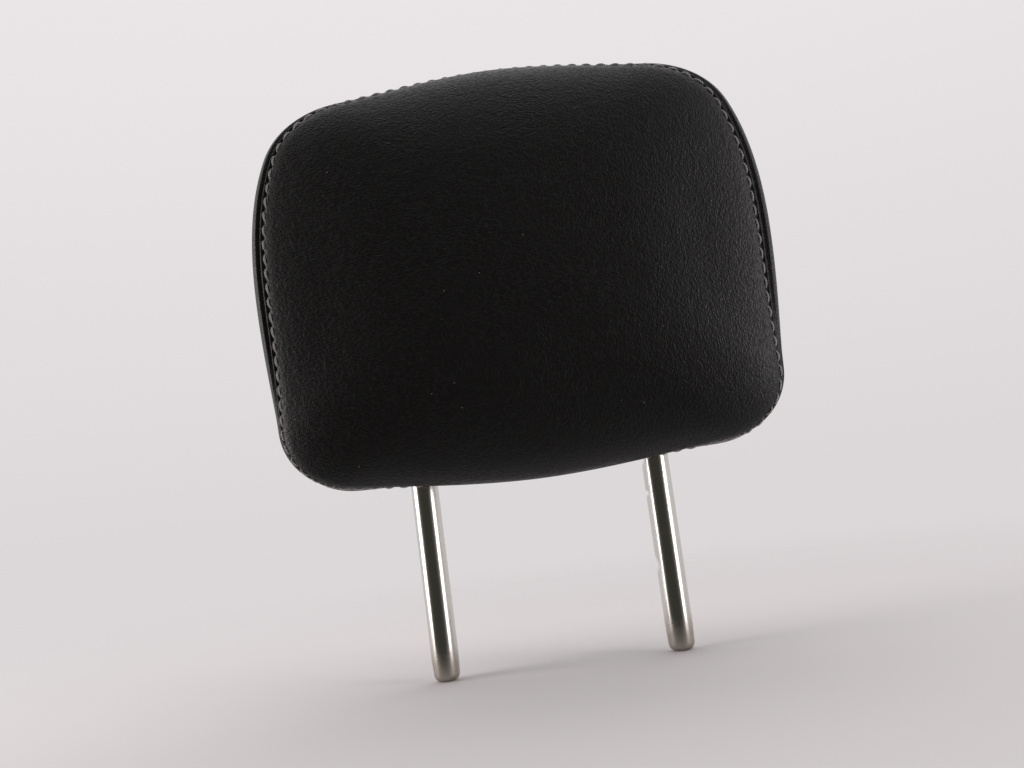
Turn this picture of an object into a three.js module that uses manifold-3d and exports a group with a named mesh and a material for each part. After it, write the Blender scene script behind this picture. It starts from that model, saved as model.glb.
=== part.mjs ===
// A car headrest: a sewn leather cushion on a bent steel tube, whose two legs drop into the seat back.
// Inside the cushion a moulded core, screwed together from two halves, clamps the tube, and a foam bun
// wraps the core. The cover is sewn from a face, a boxing strip, a bottom panel and a back.
// Millimetres. X runs across the car, Y from the face to the back, Z up.
// The origin lies midway between the tips of the two legs.

import * as THREE from "three";
import Module from "manifold-3d";
import { mergeVertices } from "three/addons/utils/BufferGeometryUtils.js";

const wasm = await Module();
wasm.setup();

// Gap between pieces that touch
const FIT = 0.3;

// Bent tube
const TUBE_DIAMETER = 14;
const TUBE_WALL = 2.5;
const LEG_SPACING = 120; // between the axes of the legs
const LEG_REACH = 99.5; // from the tips to the underside of the cushion
const CROSSBAR_RISE = 125; // from the underside of the cushion to the crossbar's axis
const BEND_RADIUS = 30; // at the tube's centreline
const TIP_DIAMETER = 13.2; // where the swaged tip starts to round over
const TIP_LENGTH = 14; // length of the swaged tip
const TIP_ROUND = 3.6; // radius of the rounding
const TIP_HOLE = 2.6; // hole that swaging leaves in the middle of the tip

// Locking notches in the inner side of one leg: height above the tip, depth, and the run of the flanks
const NOTCHES = [
  { height: 99, depth: 2, above: 1.2, below: 5 },
  { height: 80.5, depth: 1.8, above: 1.6, below: 2.2 },
  { height: 43.5, depth: 1.7, above: 5, below: 4.2 },
];

// Cushion, measured over the leather
const PAD_WIDTH = 250;
const PAD_SHOULDER_WIDTH = 235; // where the sides turn into the top corners
const PAD_HEIGHT = 207.5;
const PAD_FRONT = 56; // from the leg axes to the crown of the face
const PAD_BACK = 47; // from the leg axes to the back
const SIDE_LEAN = 21; // degrees that the sides lean in where they reach the top corners
const TOP_CORNER = 37.5;
const TOP_ARCH = 10; // how far the top edge falls before its corners
const TOP_SLOPE = 9; // degrees, where the top edge reaches its corners
const BOTTOM_CORNER = 32.5;
const BOTTOM_ARCH = 1;
const BOTTOM_SLOPE = 1;
const FACE_FLATNESS = 0.62; // share of the way out that the face stays flat
const BACK_FLATNESS = 0.6;
const FLANK_TENSION = 0.3; // reach of the curve's handles between the front seam and the crest

// Section of the cushion towards its sides, corners, top and bottom. Each point has an inset from the
// outline and a depth from the leg axes, towards the back. The shoulder steers the face's curve into the
// front seam, the crest is where the cushion is widest, and the turn is where it rolls into the back. The
// face hangs over its seam at the bottom, so two insets there are negative.
const RIM = {
  side: { shoulder: [18, -51], seam: [4.5, -44.5], crestDepth: -16, turnDepth: 33 },
  topCorner: { shoulder: [9.5, -51.5], seam: [7, -47.5], crestDepth: -16.5, turnDepth: 33 },
  top: { shoulder: [7, -52], seam: [6.5, -37], crestDepth: -12, turnDepth: 32 },
  bottomCorner: { shoulder: [2.5, -47], seam: [0.8, -38.5], crestDepth: -7, turnDepth: 30 },
  bottom: { shoulder: [-14, -46], seam: [-3, -21], crestDepth: -8, turnDepth: 26 },
};
// Width of the strip between the two seams
const BOXING = { side: 14, topCorner: 14, top: 15, bottomCorner: 64, bottom: 54 };
const BOTTOM_PANEL_INSET = 16; // from the cushion's sides to the ends of the separate bottom panel

// Cover: leather bonded to a thin foam
const COVER = 4;
const SEAM_SINK = 2; // how far a seam lies below the panels
const SEAM_ROLL = 5; // how far from the seam a panel starts to sink
const STITCH_PITCH = 7.2;
const STITCH_SETBACK = 3; // from the seam to the topstitching
const THREAD_DIAMETER = 1;
const THREAD_WAIST = 0.35; // share of the diameter left where the thread dives into a needle hole

// Moulded core, two half shells that meet on the plane of the legs
const CORE_WIDTH = 190;
const CORE_HEIGHT = 124;
const CORE_DEPTH = 42;
const CORE_CORNER = 14;
const CORE_WALL = 2.6;
const CORE_CLEARANCE = 22; // from the underside of the cushion to the core
const SADDLE_WIDTH = 26; // blocks that grip the tube
const SADDLE_LENGTH = 10;
const CROSSBAR_SADDLES = 46; // between the two blocks on the crossbar
const LEG_SADDLE_DROP = 66; // from the crossbar's axis to the lower blocks on the legs

// Screws that hold the core's halves together
const SCREW_DIAMETER = 4;
const SCREW_LENGTH = 26;
const SCREW_HEAD_DIAMETER = 8;
const SCREW_HEAD_HEIGHT = 2.6;
const SCREW_HEAD_ROUND = 0.8;
const SCREW_DRIVE = 2.4; // square recess in the head, and its depth
const SCREW_RECESS = 2;
const SCREW_POINT = 2; // length of the point, down to its blunt tip
const SCREW_TIP = 1.2;
const BOSS_DIAMETER = 11;
const BOSS_EDGE = 11; // from the core's edges to the outer screws
const MIDDLE_BOSS_DROP = 34; // from the crossbar's axis to the two middle screws
const MIDDLE_BOSS_SPACING = 56;

// Grommets where the legs leave the cover
const GROMMET_DIAMETER = 27;
const GROMMET_FLANGE = 1.6;
const GROMMET_CHAMFER = 0.6;
const GROMMET_NECK = 20;
const GROMMET_NECK_LENGTH = 11;
const GROMMET_SINK = 1.2; // how far the flange presses into the leather

// Two extruded strips, sewn to the edges that meet at the rear seam, which snap together to close the cover
const CLOSURE_LENGTH = 176;
const CLOSURE_WALL = 1.4;
const CLOSURE_RISE = 9; // above the leather's inner side at the seam
const CLOSURE_LIP = 5;

// Fineness of the round shapes
const TUBE_SIDES = 20;
const BORE_SIDES = 10;
const BEND_STEPS = 5;
const OUTLINE_STEPS = 5; // for each curve of the cushion's outline
const FACE_STEPS = 5;
const STRIP_STEPS = 2;
const BACK_STEPS = 6;
const THREAD_SIDES = 4;
const CORNER_STEPS = 3;
const BOSS_SIDES = 10;
const SCREW_SIDES = 8;

const leather = new THREE.MeshStandardMaterial({ color: 0x1c1b1a, roughness: 0.55, metalness: 0 });
const thread = new THREE.MeshStandardMaterial({ color: 0x8a8784, roughness: 0.8, metalness: 0 });
const steel = new THREE.MeshStandardMaterial({ color: 0xc9c8c2, roughness: 0.22, metalness: 1 });
const screwSteel = new THREE.MeshStandardMaterial({ color: 0x8f9193, roughness: 0.4, metalness: 1 });
const foam = new THREE.MeshStandardMaterial({ color: 0xd9cfae, roughness: 0.95, metalness: 0 });
const coreResin = new THREE.MeshStandardMaterial({ color: 0x2e2f31, roughness: 0.6, metalness: 0 });
const trimResin = new THREE.MeshStandardMaterial({ color: 0x161617, roughness: 0.5, metalness: 0 });

// Places that follow from the sizes
const tubeRadius = TUBE_DIAMETER / 2;
const boreRadius = tubeRadius - TUBE_WALL;
const legX = LEG_SPACING / 2;
const crossbarZ = LEG_REACH + CROSSBAR_RISE;
const bendZ = crossbarZ - BEND_RADIUS;
const bendX = legX - BEND_RADIUS;
const BEND_LAP = 3; // how far the straight stretches run into the bends, to join them
const padCentreZ = LEG_REACH + PAD_HEIGHT / 2;
const coreBottomZ = LEG_REACH + CORE_CLEARANCE;
const coreTopZ = coreBottomZ + CORE_HEIGHT;
const coreCentreZ = (coreBottomZ + coreTopZ) / 2;

// Solids and meshes

// A closed geometry as a solid that can be joined and cut.
function solidOf(geometry) {
  const bare = new THREE.BufferGeometry();
  bare.setAttribute("position", geometry.getAttribute("position").clone());
  if (geometry.index) bare.setIndex(geometry.index.clone());
  const merged = mergeVertices(bare, 1e-4);
  const corners = [];
  for (let i = 0; i < merged.index.count; i += 3) {
    const [a, b, c] = [0, 1, 2].map((k) => merged.index.getX(i + k));
    if (a !== b && b !== c && c !== a) corners.push(a, b, c);
  }
  return new wasm.Manifold(
    new wasm.Mesh({
      numProp: 3,
      vertProperties: new Float32Array(merged.getAttribute("position").array),
      triVerts: new Uint32Array(corners),
    }),
  );
}

function geometryOf(solid) {
  const mesh = solid.getMesh();
  const geometry = new THREE.BufferGeometry();
  geometry.setAttribute("position", new THREE.BufferAttribute(new Float32Array(mesh.vertProperties), 3));
  geometry.setIndex(new THREE.BufferAttribute(new Uint32Array(mesh.triVerts), 1));
  geometry.computeVertexNormals();
  return geometry;
}

function piece(name, solid, material) {
  const mesh = new THREE.Mesh(geometryOf(solid), material);
  mesh.name = name;
  return mesh;
}

function joined(solids) {
  return solids.reduce((sum, each) => sum.add(each));
}

// A box between two corners.
function boxBetween(low, high) {
  const size = high.map((value, axis) => value - low[axis]);
  const box = new THREE.BoxGeometry(...size);
  return solidOf(box.translate(...low.map((value, axis) => value + size[axis] / 2)));
}

// A turned piece: a profile of [radius, height] points, listed upwards from the axis and back to it.
function turned(profile, sides) {
  const points = profile.map(([radius, height]) => new THREE.Vector2(radius, height));
  return solidOf(new THREE.LatheGeometry(points, sides).rotateX(Math.PI / 2));
}

function rod(radius, fromZ, toZ, sides) {
  return turned([[0, fromZ], [radius, fromZ], [radius, toZ], [0, toZ]], sides);
}

// A flat shape in Y and Z, given by its corners, extruded along X.
function barAlongX(corners, length) {
  const shape = new THREE.Shape(corners.map(([y, z]) => new THREE.Vector2(y, z)));
  const bar = new THREE.ExtrudeGeometry(shape, { depth: length, bevelEnabled: false });
  bar.rotateX(Math.PI / 2).rotateZ(Math.PI / 2);
  return solidOf(bar.translate(-length / 2, 0, 0));
}

// Bent tube

// The tube's outside, or its bore: legs, two bends and the crossbar, from the profile of one leg.
function bentBar(legProfile, radius, sides) {
  const circle = new THREE.Shape().absarc(0, 0, radius, 0, 2 * Math.PI);
  const section = new THREE.Shape(circle.getSpacedPoints(sides).slice(0, sides));
  const quarter = new THREE.EllipseCurve(bendX, bendZ, BEND_RADIUS, BEND_RADIUS, 0, Math.PI / 2);
  const route = quarter.getPoints(BEND_STEPS).map(({ x, y }) => new THREE.Vector3(x, 0, y));
  const bendPath = new THREE.CatmullRomCurve3(route, false, "centripetal");
  const bend = solidOf(new THREE.ExtrudeGeometry(section, { steps: BEND_STEPS, extrudePath: bendPath }));
  const leg = turned(legProfile, sides).translate([legX, 0, 0]);
  const half = leg.add(bend);
  const barEnd = bendX + BEND_LAP;
  const crossbar = rod(radius, -barEnd, barEnd, sides).rotate([0, 90, 0]).translate([0, 0, crossbarZ]);
  return joined([half, half.mirror([1, 0, 0]), crossbar]);
}

// Points of a quarter round from the flat of a tip out to its side.
function tipRounding(radius, steps) {
  return Array.from({ length: steps + 1 }, (_, step) => {
    const angle = (step / steps) * (Math.PI / 2);
    return [radius - TIP_ROUND + TIP_ROUND * Math.sin(angle), TIP_ROUND - TIP_ROUND * Math.cos(angle)];
  });
}

function notchCutter({ height, depth, above, below }) {
  const inner = legX - tubeRadius;
  const outline = [
    [inner - 1, height + above + 1],
    [inner, height + above],
    [inner + depth, height],
    [inner, height - below],
    [inner - 1, height - below - 1],
  ];
  const shape = new THREE.Shape(outline.map(([x, z]) => new THREE.Vector2(x, z)));
  const cutter = new THREE.ExtrudeGeometry(shape, { depth: TUBE_DIAMETER, bevelEnabled: false });
  return solidOf(cutter.rotateX(Math.PI / 2).translate(0, tubeRadius, 0));
}

function makeLegFrame() {
  const outsideLeg = [
    [0, 0],
    ...tipRounding(TIP_DIAMETER / 2, 4),
    [tubeRadius, TIP_LENGTH],
    [tubeRadius, bendZ + BEND_LAP],
    [0, bendZ + BEND_LAP],
  ];
  const boreLeg = [
    [0, -1],
    [TIP_HOLE / 2, -1],
    [TIP_HOLE / 2, TUBE_WALL],
    [boreRadius - 1, TIP_ROUND + TUBE_WALL],
    [boreRadius, TIP_LENGTH],
    [boreRadius, bendZ + BEND_LAP],
    [0, bendZ + BEND_LAP],
  ];
  const outside = bentBar(outsideLeg, tubeRadius, TUBE_SIDES);
  const bore = bentBar(boreLeg, boreRadius, BORE_SIDES);
  return NOTCHES.reduce((tube, notch) => tube.subtract(notchCutter(notch)), outside.subtract(bore));
}

// The room that the tube needs in what grips it.
function tubeRoom() {
  const radius = tubeRadius + FIT;
  const leg = [[0, -1], [radius, -1], [radius, bendZ + BEND_LAP], [0, bendZ + BEND_LAP]];
  return bentBar(leg, radius, TUBE_SIDES);
}

// Cushion

// The cushion's outline seen from the front, about its own middle, anticlockwise from the bottom. It runs
// through knots, each with its heading in degrees, on curves that are close to arcs.
function makeOutline() {
  const [w, h, s] = [PAD_WIDTH / 2, PAD_HEIGHT / 2, PAD_SHOULDER_WIDTH / 2];
  const right = [
    { x: 0, y: -h, heading: 0 },
    { x: w - BOTTOM_CORNER, y: BOTTOM_ARCH - h, heading: BOTTOM_SLOPE },
    { x: w, y: BOTTOM_CORNER - h, heading: 90 },
    { x: s, y: h - TOP_CORNER, heading: 90 + SIDE_LEAN },
    { x: s - TOP_CORNER, y: h - TOP_ARCH, heading: 180 - TOP_SLOPE },
    { x: 0, y: h, heading: 180 },
  ];
  const left = right.map(({ x, y, heading }) => ({ x: -x, y, heading: 360 - heading })).reverse();
  const knots = [...right, ...left.slice(1)];
  const path = new THREE.Path().moveTo(0, -h);
  knots.slice(1).forEach((to, index) => {
    const from = knots[index];
    const [start, end] = [from, to].map((knot) => THREE.MathUtils.degToRad(knot.heading));
    const chord = Math.hypot(to.x - from.x, to.y - from.y);
    const turn = end - start;
    const handle = ((2 / 3) * chord * Math.tan(turn / 4)) / Math.sin(turn / 2);
    path.bezierCurveTo(
      from.x + handle * Math.cos(start),
      from.y + handle * Math.sin(start),
      to.x - handle * Math.cos(end),
      to.y - handle * Math.sin(end),
      to.x,
      to.y,
    );
  });
  return path;
}
const outline = makeOutline();

// A size of the rim, blended between its values towards a side, a corner, and the top or bottom.
function blended(values, direction) {
  const upper = direction.y > 0;
  const [end, corner] = upper ? [values.top, values.topCorner] : [values.bottom, values.bottomCorner];
  const [across, upright] = [direction.x ** 2, direction.y ** 2];
  return values.side * across ** 2 + 2 * corner * across * upright + end * upright ** 2;
}

// The section of the cushion from the middle of its face, over its rim, to the middle of its back,
// towards one point of the outline. Its curve holds [distance from the middle, depth].
function makeSection(rimPoint) {
  const reach = rimPoint.length();
  const direction = rimPoint.clone().divideScalar(reach);
  const rim = (pick) => {
    const values = Object.entries(RIM).map(([edge, sizes]) => [edge, pick(sizes)]);
    return blended(Object.fromEntries(values), direction);
  };
  const rimCorner = (key) =>
    new THREE.Vector2(reach - rim((edge) => edge[key][0]), rim((edge) => edge[key][1]));
  const [shoulder, seam] = [rimCorner("shoulder"), rimCorner("seam")];
  const crest = new THREE.Vector2(reach, rim((edge) => edge.crestDepth));
  const run = crest.y - seam.y;
  const onward = seam.clone().sub(shoulder).normalize().multiplyScalar(FLANK_TENSION * run);
  const face = new THREE.CubicBezierCurve(
    new THREE.Vector2(0, -PAD_FRONT),
    new THREE.Vector2(FACE_FLATNESS * reach, -PAD_FRONT),
    shoulder,
    seam,
  );
  const flank = new THREE.CubicBezierCurve(
    seam,
    seam.clone().add(onward),
    new THREE.Vector2(crest.x, crest.y - FLANK_TENSION * run),
    crest,
  );
  const back = new THREE.CubicBezierCurve(
    crest,
    new THREE.Vector2(crest.x, rim((edge) => edge.turnDepth)),
    new THREE.Vector2(BACK_FLATNESS * reach, PAD_BACK),
    new THREE.Vector2(0, PAD_BACK),
  );
  const curve = new THREE.CurvePath();
  [face, flank, back].forEach((each) => curve.add(each));
  const frontSeam = face.getLength();
  const rearSeam = frontSeam + blended(BOXING, direction);
  return { curve, direction, length: curve.getLength(), frontSeam, rearSeam };
}

function pointOf(section, along) {
  const flat = section.curve.getPointAt(THREE.MathUtils.clamp(along / section.length, 0, 1));
  return new THREE.Vector3(section.direction.x * flat.x, flat.y, padCentreZ + section.direction.y * flat.x);
}

// Sections towards evenly numbered points of the outline, each with its two neighbours for the normals.
const columns = outline.getPoints(OUTLINE_STEPS).slice(0, -1);
const sections = columns.map((point) => makeSection(point));

// The outward direction of the cushion's surface at a section.
function normalOf(index, along) {
  const section = sections[index];
  const nudge = 0.5;
  const ends = along < nudge || along > section.length - nudge;
  if (ends) return new THREE.Vector3(0, along < nudge ? -1 : 1, 0);
  const share = along / section.length;
  const count = sections.length;
  const [before, after] = [sections[(index + count - 1) % count], sections[(index + 1) % count]];
  const around = pointOf(after, share * after.length).sub(pointOf(before, share * before.length));
  const outwards = pointOf(section, along + nudge).sub(pointOf(section, along - nudge));
  return outwards.cross(around).normalize();
}

// A point below the cushion's smooth surface.
function sunkPoint(index, along, depth) {
  return pointOf(sections[index], along).addScaledVector(normalOf(index, along), -depth);
}

// How far the leather dips at a distance from its seam.
function seamDip(distance) {
  return SEAM_SINK * (1 - THREE.MathUtils.smoothstep(distance, 0, SEAM_ROLL));
}

function pushQuad(list, a, b, c, d) {
  [a, b, c, a, c, d].forEach((point) => list.push(point.x, point.y, point.z));
}

// A closed band around the cushion between an outer and an inner surface, each a list of rings of points.
function bandBetween(outer, inner) {
  const list = [];
  const last = outer.length - 1;
  const count = outer[0].length;
  for (let i = 0; i < count; i += 1) {
    const j = (i + 1) % count;
    for (let ring = 0; ring < last; ring += 1) {
      pushQuad(list, outer[ring][i], outer[ring + 1][i], outer[ring + 1][j], outer[ring][j]);
      pushQuad(list, inner[ring + 1][j], inner[ring + 1][i], inner[ring][i], inner[ring][j]);
    }
    pushQuad(list, outer[0][i], outer[0][j], inner[0][j], inner[0][i]);
    pushQuad(list, outer[last][i], inner[last][i], inner[last][j], outer[last][j]);
  }
  const geometry = new THREE.BufferGeometry();
  geometry.setAttribute("position", new THREE.Float32BufferAttribute(list, 3));
  return solidOf(geometry);
}

// The three stretches of a section that the cover's panels span. Each has seams at one end or at both,
// where the leather sinks, and a number of steps between its seams.
const STRETCHES = {
  face: { ends: ({ frontSeam }) => [0, frontSeam], seams: [false, true], steps: FACE_STEPS },
  strip: { ends: (places) => [places.frontSeam, places.rearSeam], seams: [true, true], steps: STRIP_STEPS },
  back: { ends: ({ rearSeam, length }) => [rearSeam, length], seams: [true, false], steps: BACK_STEPS },
};

// The places along a section where a stretch has a ring of points, closer together beside a seam. The
// margin keeps a panel clear of its neighbour across the seam.
function ringPlaces(section, { ends, seams, steps }, margin) {
  const [from, to] = ends(section);
  const low = seams[0] ? [from + margin, from + STITCH_SETBACK, from + SEAM_ROLL] : [from];
  const high = seams[1] ? [to - SEAM_ROLL, to - STITCH_SETBACK, to - margin] : [to];
  const between = Array.from({ length: steps - 1 }, (_, i) =>
    THREE.MathUtils.lerp(low.at(-1), high[0], (i + 1) / steps),
  );
  return [...low, ...between, ...high];
}

// Rings of points around the cushion over one stretch, at a depth that the leather's dip is added to.
function ringsOver(stretch, margin, depth, dips) {
  const perSection = sections.map((section, index) => {
    const [from, to] = stretch.ends(section);
    return ringPlaces(section, stretch, margin).map((along) => {
      const sinceSeam = stretch.seams[0] ? along - from : Infinity;
      const toSeam = Math.min(sinceSeam, stretch.seams[1] ? to - along : Infinity);
      return sunkPoint(index, along, depth + (dips ? seamDip(toSeam) : 0));
    });
  });
  return perSection[0].map((_, ring) => perSection.map((points) => points[ring]));
}

function coverPanel(stretch) {
  return bandBetween(ringsOver(stretch, FIT / 2, 0, true), ringsOver(stretch, FIT / 2, COVER, false));
}

// The room that holds the bottom panel's length of the strip.
function underside(width) {
  const reach = PAD_FRONT + PAD_BACK;
  return boxBetween([-width / 2, -reach, LEG_REACH - COVER], [width / 2, reach, padCentreZ - PAD_HEIGHT / 4]);
}

// The height of the cushion's underside, over the leather, at a depth on its middle line.
function undersideZ(depth) {
  const section = makeSection(new THREE.Vector2(0, -PAD_HEIGHT / 2));
  let [from, to] = [section.frontSeam, section.length];
  for (let halving = 0; halving < 30; halving += 1) {
    const middle = (from + to) / 2;
    if (pointOf(section, middle).y < depth) from = middle;
    else to = middle;
  }
  return pointOf(section, from).z;
}
const grommetSeatZ = undersideZ(0) + GROMMET_SINK;

function grommetRoom() {
  const profile = [
    [0, grommetSeatZ - GROMMET_SINK - COVER],
    [GROMMET_DIAMETER / 2 + FIT, grommetSeatZ - GROMMET_SINK - COVER],
    [GROMMET_DIAMETER / 2 + FIT, grommetSeatZ + FIT],
    [GROMMET_NECK / 2 + FIT, grommetSeatZ + FIT],
    [GROMMET_NECK / 2 + FIT, grommetSeatZ + GROMMET_NECK_LENGTH + FIT],
    [0, grommetSeatZ + GROMMET_NECK_LENGTH + FIT],
  ];
  const room = turned(profile, TUBE_SIDES);
  return room.translate([-legX, 0, 0]).add(room.translate([legX, 0, 0]));
}

function makeGrommet() {
  const bore = tubeRadius + FIT;
  const profile = [
    [bore, grommetSeatZ - GROMMET_FLANGE],
    [GROMMET_DIAMETER / 2 - GROMMET_CHAMFER, grommetSeatZ - GROMMET_FLANGE],
    [GROMMET_DIAMETER / 2, grommetSeatZ - GROMMET_FLANGE + GROMMET_CHAMFER],
    [GROMMET_DIAMETER / 2, grommetSeatZ],
    [GROMMET_NECK / 2, grommetSeatZ],
    [GROMMET_NECK / 2, grommetSeatZ + GROMMET_NECK_LENGTH],
    [bore, grommetSeatZ + GROMMET_NECK_LENGTH],
    [bore, grommetSeatZ - GROMMET_FLANGE],
  ];
  return turned(profile, TUBE_SIDES);
}

// Topstitching: one thread round the face, a bead for each stitch with a waist at each needle hole.
function makeTopstitch() {
  const rim = sections.map((section, index) => {
    const along = section.frontSeam - FIT / 2 - STITCH_SETBACK;
    return sunkPoint(index, along, seamDip(STITCH_SETBACK) - FIT - THREAD_DIAMETER / 2);
  });
  const line = new THREE.CatmullRomCurve3(rim, true, "centripetal");
  const stitches = Math.round(line.getLength() / STITCH_PITCH);
  const places = line.getSpacedPoints(stitches * 2).slice(0, -1);
  const middle = new THREE.Vector3(0, 0, padCentreZ);
  const rings = places.map((place, index) => {
    const radius = (THREAD_DIAMETER / 2) * (index % 2 ? 1 : THREAD_WAIST);
    const forward = line.getTangentAt(index / places.length);
    const out = place.clone().sub(middle).cross(forward).normalize();
    const side = forward.clone().cross(out).normalize();
    return Array.from({ length: THREAD_SIDES }, (_, k) => {
      const angle = (k / THREAD_SIDES) * 2 * Math.PI;
      const offset = out.clone().multiplyScalar(radius * Math.cos(angle));
      return place.clone().add(offset).addScaledVector(side, radius * Math.sin(angle));
    });
  });
  const list = [];
  rings.forEach((ring, index) => {
    const next = rings[(index + 1) % rings.length];
    for (let k = 0; k < THREAD_SIDES; k += 1) {
      const m = (k + 1) % THREAD_SIDES;
      pushQuad(list, ring[k], ring[m], next[m], next[k]);
    }
  });
  const geometry = new THREE.BufferGeometry();
  geometry.setAttribute("position", new THREE.Float32BufferAttribute(list, 3));
  return solidOf(geometry);
}

// The solid that the cover wraps, with the gap between them.
function makeLining() {
  const rings = Object.values(STRETCHES).flatMap((stretch, index) =>
    ringsOver(stretch, 0, COVER + FIT, false).slice(index ? 1 : 0),
  );
  const list = [];
  rings.slice(1).forEach((ring, below) => {
    ring.forEach((point, i) => {
      const j = (i + 1) % ring.length;
      pushQuad(list, rings[below][i], point, ring[j], rings[below][j]);
    });
  });
  const geometry = new THREE.BufferGeometry();
  geometry.setAttribute("position", new THREE.Float32BufferAttribute(list, 3));
  return solidOf(geometry);
}
const lining = makeLining();

// Closure strips: a flat wall, and a channel that snaps over it. Their lower edges follow the cover.
const closureSection = makeSection(new THREE.Vector2(0, -PAD_HEIGHT / 2));
const closureY = pointOf(closureSection, closureSection.rearSeam).y;
const closureFront = closureY - 1.5 * FIT - 2 * CLOSURE_WALL;
const closureBack = closureY + FIT / 2 + CLOSURE_WALL;
const closureBase = pointOf(closureSection, closureSection.rearSeam).z;
const closureRoof = closureBase + COVER + CLOSURE_RISE;
const closureTop = closureRoof + FIT + CLOSURE_WALL;

function makeFrontClosure() {
  const wall = closureY - FIT / 2;
  const half = CLOSURE_LENGTH / 2;
  const bar = boxBetween([-half, wall - CLOSURE_WALL, LEG_REACH], [half, wall, closureRoof]);
  return bar.intersect(lining);
}

function makeRearClosure() {
  const wall = closureY + FIT / 2;
  const roof = closureTop - CLOSURE_WALL;
  const corners = [
    [wall, LEG_REACH],
    [closureBack, LEG_REACH],
    [closureBack, closureTop],
    [closureFront, closureTop],
    [closureFront, roof - CLOSURE_LIP],
    [closureFront + CLOSURE_WALL, roof - CLOSURE_LIP],
    [closureFront + CLOSURE_WALL, roof],
    [wall, roof],
  ];
  return barAlongX(corners, CLOSURE_LENGTH).intersect(lining);
}

// Foam bun, moulded with a slot from below for the core and the closure strips.
function makeFoam() {
  const slot = boxBetween(
    [-CORE_WIDTH / 2 - FIT, -CORE_DEPTH / 2 - FIT, LEG_REACH - COVER],
    [CORE_WIDTH / 2 + FIT, CORE_DEPTH / 2 + FIT, coreTopZ + FIT],
  );
  const mouth = boxBetween(
    [-CLOSURE_LENGTH / 2 - FIT, 0, LEG_REACH - COVER],
    [CLOSURE_LENGTH / 2 + FIT, closureBack + FIT, closureTop + FIT],
  );
  return lining.subtract(slot).subtract(mouth);
}

// Core

// A rounded block seen from the front, from one depth to another.
function roundedBlock(inset, fromY, toY) {
  const [x, z] = [CORE_WIDTH / 2 - inset, CORE_HEIGHT / 2 - inset];
  const r = CORE_CORNER - inset;
  const shape = new THREE.Shape()
    .moveTo(-x + r, -z)
    .lineTo(x - r, -z)
    .absarc(x - r, -z + r, r, -Math.PI / 2, 0)
    .absarc(x - r, z - r, r, 0, Math.PI / 2)
    .absarc(-x + r, z - r, r, Math.PI / 2, Math.PI)
    .absarc(-x + r, -z + r, r, Math.PI, 1.5 * Math.PI);
  const options = { depth: toY - fromY, bevelEnabled: false, curveSegments: CORNER_STEPS };
  const block = new THREE.ExtrudeGeometry(shape, options);
  return solidOf(block.rotateX(Math.PI / 2).translate(0, toY, coreCentreZ));
}

// Where the core's screws stand, as [x, z].
function screwPlaces() {
  const [x, z] = [CORE_WIDTH / 2 - BOSS_EDGE, CORE_HEIGHT / 2 - BOSS_EDGE];
  const outer = [[-x, -z], [x, -z], [-x, z], [x, z]];
  const middle = [-1, 1].map((side) => [
    (side * MIDDLE_BOSS_SPACING) / 2,
    crossbarZ - MIDDLE_BOSS_DROP - coreCentreZ,
  ]);
  return [...outer, ...middle].map(([sx, sz]) => [sx, coreCentreZ + sz]);
}

// A rod along Y between two depths.
function rodAlongY(diameter, fromY, toY, [x, z], sides) {
  return rod(diameter / 2, -toY, -fromY, sides).rotate([90, 0, 0]).translate([x, 0, z]);
}

const screwHeadY = -CORE_DEPTH / 2 + SCREW_HEAD_HEIGHT + CORE_WALL / 2; // underside of the screw heads
const screwTipY = screwHeadY + SCREW_LENGTH - SCREW_HEAD_HEIGHT;

// Half of the core, on the face's side for -1 and on the back's side for 1.
function makeCoreHalf(side) {
  const far = (side * CORE_DEPTH) / 2;
  const near = (side * FIT) / 2;
  const floor = far - side * CORE_WALL;
  const span = (a, b) => [Math.min(a, b), Math.max(a, b)];
  const tray = roundedBlock(0, ...span(far, near)).subtract(roundedBlock(CORE_WALL, ...span(floor, -side)));
  const bury = far - (side * CORE_WALL) / 2;
  const block = (x, z, width, height) => {
    const [low, high] = span(bury, near);
    return boxBetween([x - width / 2, low, z - height / 2], [x + width / 2, high, z + height / 2]);
  };
  const legBlocks = [-legX, legX].flatMap((x) => [
    block(x, crossbarZ - LEG_SADDLE_DROP, SADDLE_WIDTH, SADDLE_LENGTH),
    block(x, bendZ - SADDLE_LENGTH / 2, SADDLE_WIDTH, SADDLE_LENGTH),
  ]);
  const barBlocks = [-1, 1].map((end) =>
    block((end * CROSSBAR_SADDLES) / 2, crossbarZ, SADDLE_LENGTH, SADDLE_WIDTH),
  );
  const bosses = screwPlaces().map((place) =>
    rodAlongY(BOSS_DIAMETER, ...span(bury, near), place, BOSS_SIDES),
  );
  const shankRoom = SCREW_DIAMETER + 2 * FIT;
  const headRoom = SCREW_HEAD_DIAMETER + 2 * FIT;
  const holes = screwPlaces().flatMap((place) => {
    if (side > 0) return [rodAlongY(shankRoom, -1, screwTipY + 1, place, SCREW_SIDES)];
    return [
      rodAlongY(shankRoom, screwHeadY - 1, 1, place, SCREW_SIDES),
      rodAlongY(headRoom, -CORE_DEPTH, screwHeadY + FIT, place, BOSS_SIDES),
    ];
  });
  return joined([tray, ...legBlocks, ...barBlocks, ...bosses]).subtract(joined([tubeRoom(), ...holes]));
}

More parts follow.
